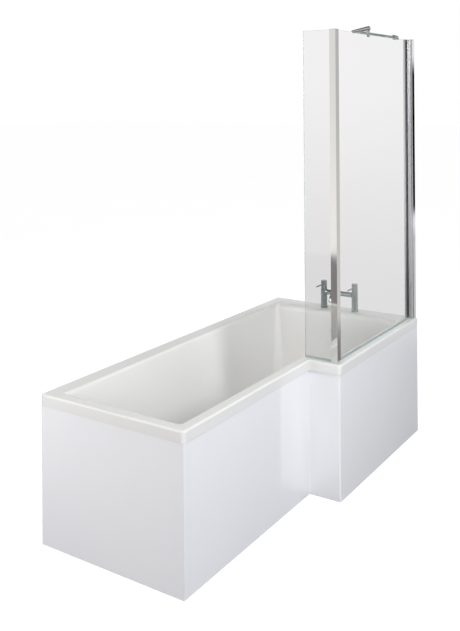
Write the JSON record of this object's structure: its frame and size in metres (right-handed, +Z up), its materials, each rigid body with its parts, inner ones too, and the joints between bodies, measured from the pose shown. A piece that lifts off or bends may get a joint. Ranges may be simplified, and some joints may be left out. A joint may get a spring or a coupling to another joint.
{
  "type": "shower bath",
  "caption": "L-shaped acrylic shower bath with front and end panels, a fixed two-pane glass screen on a square post, a stabiliser arm and a deck-mounted pin-lever bath filler.",
  "frame": {"origin": "on the floor, under the middle of the bath's bounding box", "axes": "+Z up; +X along the bath's length towards the taps; +Y from the wide front edge towards the back wall"},
  "size_m": [1.7, 0.85, 2.0364],
  "materials": {
    "acrylic": "high gloss white sanitary acrylic",
    "panel": "high gloss white",
    "board": "raw chipboard",
    "timber": "planed softwood",
    "galvanised_steel": "zinc plated",
    "feet_plastic": "moulded, satin",
    "white_plastic": "moulded, satin",
    "chrome": "bright chrome plate",
    "brass": "machined",
    "black_rubber": "satin",
    "seal": "translucent",
    "glass": "clear toughened glass, polished edges"
  },
  "bodies": {
    "bath": {"tub_shell": "acrylic", "base_board": "board", "rim_batten_back": "timber", "rim_batten_near": "timber", "rim_batten_tap": "timber", "rim_batten_narrow": "timber", "rim_batten_wide": "timber", "leg_bar_near": "galvanised_steel", "leg_bar_middle": "galvanised_steel", "leg_bar_tap": "galvanised_steel", "bar_screws": "galvanised_steel", "lock_nuts": "galvanised_steel", "front_panel": "panel", "end_panel": "panel", "panel_clips": "white_plastic", "floor_batten_end": "timber", "floor_batten_narrow": "timber", "floor_batten_wide": "timber", "wall_brackets": "galvanised_steel", "waste_flange": "chrome", "waste_washer": "black_rubber", "waste_body": "white_plastic", "overflow_cover": "chrome", "overflow_washer": "black_rubber", "overflow_elbow": "white_plastic", "overflow_pipe": "white_plastic", "filler_body": "chrome", "spout": "chrome", "aerator": "white_plastic", "hot_valve": "brass", "cold_valve": "brass", "deck_washers": "black_rubber", "backnuts": "brass", "wall_channel": "chrome", "glass_profile": "chrome", "wall_gasket": "black_rubber", "main_glass": "glass", "corner_post": "chrome", "return_glass": "glass", "main_seal": "seal", "return_seal": "seal", "profile_caps": "chrome", "arm_wall_plate": "galvanised_steel", "arm_flange": "chrome", "arm_rod": "chrome", "glass_clamp": "chrome", "clamp_screw": "galvanised_steel"},
    "hot_control": {"hot_handle": "chrome", "hot_lever": "chrome", "hot_spindle": "brass"},
    "cold_control": {"cold_handle": "chrome", "cold_lever": "chrome", "cold_spindle": "brass"},
    "plug": {"waste_plug": "chrome"},
    "foot_near_front": {"foot_near_front": "feet_plastic"},
    "foot_near_back": {"foot_near_back": "feet_plastic"},
    "foot_middle_front": {"foot_middle_front": "feet_plastic"},
    "foot_middle_back": {"foot_middle_back": "feet_plastic"},
    "foot_tap_front": {"foot_tap_front": "feet_plastic"},
    "foot_tap_back": {"foot_tap_back": "feet_plastic"}
  },
  "joints": [
    {"name": "hot_turn", "type": "hinge", "parent": "bath", "child": "hot_control", "pos_m": [0.79, 0.09, 0.7], "axis": [0, 0, 1], "range_deg": [-90, 0]},
    {"name": "cold_turn", "type": "hinge", "parent": "bath", "child": "cold_control", "pos_m": [0.79, -0.09, 0.7], "axis": [0, 0, 1], "range_deg": [0, 90]},
    {"name": "plug_push", "type": "slide", "parent": "bath", "child": "plug", "axis": [0, 0, 1], "range_m": [-0.008, 0]},
    {"name": "foot_near_front_height", "type": "slide", "parent": "bath", "child": "foot_near_front", "axis": [0, 0, 1], "range_m": [-0.01, 0.015]},
    {"name": "foot_near_back_height", "type": "slide", "parent": "bath", "child": "foot_near_back", "axis": [0, 0, 1], "range_m": [-0.01, 0.015]},
    {"name": "foot_middle_front_height", "type": "slide", "parent": "bath", "child": "foot_middle_front", "axis": [0, 0, 1], "range_m": [-0.01, 0.015]},
    {"name": "foot_middle_back_height", "type": "slide", "parent": "bath", "child": "foot_middle_back", "axis": [0, 0, 1], "range_m": [-0.01, 0.015]},
    {"name": "foot_tap_front_height", "type": "slide", "parent": "bath", "child": "foot_tap_front", "axis": [0, 0, 1], "range_m": [-0.01, 0.015]},
    {"name": "foot_tap_back_height", "type": "slide", "parent": "bath", "child": "foot_tap_back", "axis": [0, 0, 1], "range_m": [-0.01, 0.015]}
  ]
}
